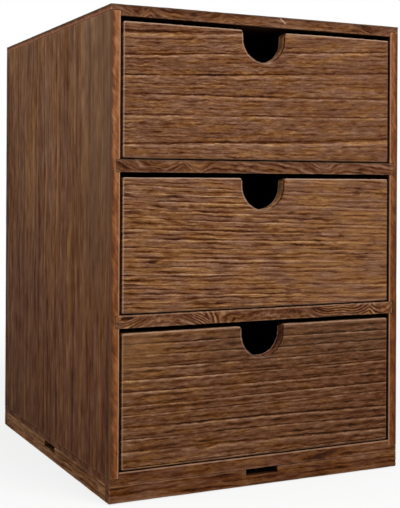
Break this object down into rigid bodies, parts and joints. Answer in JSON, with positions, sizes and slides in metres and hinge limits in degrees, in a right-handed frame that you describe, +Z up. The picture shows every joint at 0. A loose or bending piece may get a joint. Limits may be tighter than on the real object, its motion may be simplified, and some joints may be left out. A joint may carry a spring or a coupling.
{
  "type": "desktop mini drawers",
  "caption": "Small desktop chest of equal inset drawers in scorched, brushed wood, with U-shaped finger notches and a low slotted base.",
  "frame": {"origin": "centre of the footprint, on the surface the chest stands on", "axes": "+X to the right as seen from the front, -Y out of the front where the drawers pull out, +Z up"},
  "size_m": [0.237, 0.264, 0.34],
  "materials": {
    "case_wood": "scorched, brushed and stained solid paulownia, matt",
    "drawer_front_wood": "scorched, brushed and stained solid paulownia with raised horizontal grain, matt",
    "drawer_box_wood": "stained solid paulownia, planed smooth, matt",
    "plywood": "stained thin plywood, matt",
    "steel_pins": "dull steel wire pins"
  },
  "bodies": {
    "cabinet": {"top_board": "case_wood", "bottom_board": "case_wood", "left_side_panel": "case_wood", "right_side_panel": "case_wood", "upper_shelf": "case_wood", "lower_shelf": "case_wood", "back_panel": "plywood", "back_panel_pins": "steel_pins", "base_front_rail": "case_wood", "base_back_rail": "case_wood", "base_left_rail": "case_wood", "base_right_rail": "case_wood"},
    "top_drawer": {"top_drawer_front": "drawer_front_wood", "top_drawer_left_side": "drawer_box_wood", "top_drawer_right_side": "drawer_box_wood", "top_drawer_back": "drawer_box_wood", "top_drawer_bottom": "plywood"},
    "middle_drawer": {"middle_drawer_front": "drawer_front_wood", "middle_drawer_left_side": "drawer_box_wood", "middle_drawer_right_side": "drawer_box_wood", "middle_drawer_back": "drawer_box_wood", "middle_drawer_bottom": "plywood"},
    "bottom_drawer": {"bottom_drawer_front": "drawer_front_wood", "bottom_drawer_left_side": "drawer_box_wood", "bottom_drawer_right_side": "drawer_box_wood", "bottom_drawer_back": "drawer_box_wood", "bottom_drawer_bottom": "plywood"}
  },
  "joints": [
    {"name": "top_drawer_slide", "type": "slide", "parent": "cabinet", "child": "top_drawer", "axis": [0, -1, 0], "range_m": [0, 0.2]},
    {"name": "middle_drawer_slide", "type": "slide", "parent": "cabinet", "child": "middle_drawer", "axis": [0, -1, 0], "range_m": [0, 0.2]},
    {"name": "bottom_drawer_slide", "type": "slide", "parent": "cabinet", "child": "bottom_drawer", "axis": [0, -1, 0], "range_m": [0, 0.2]}
  ]
}
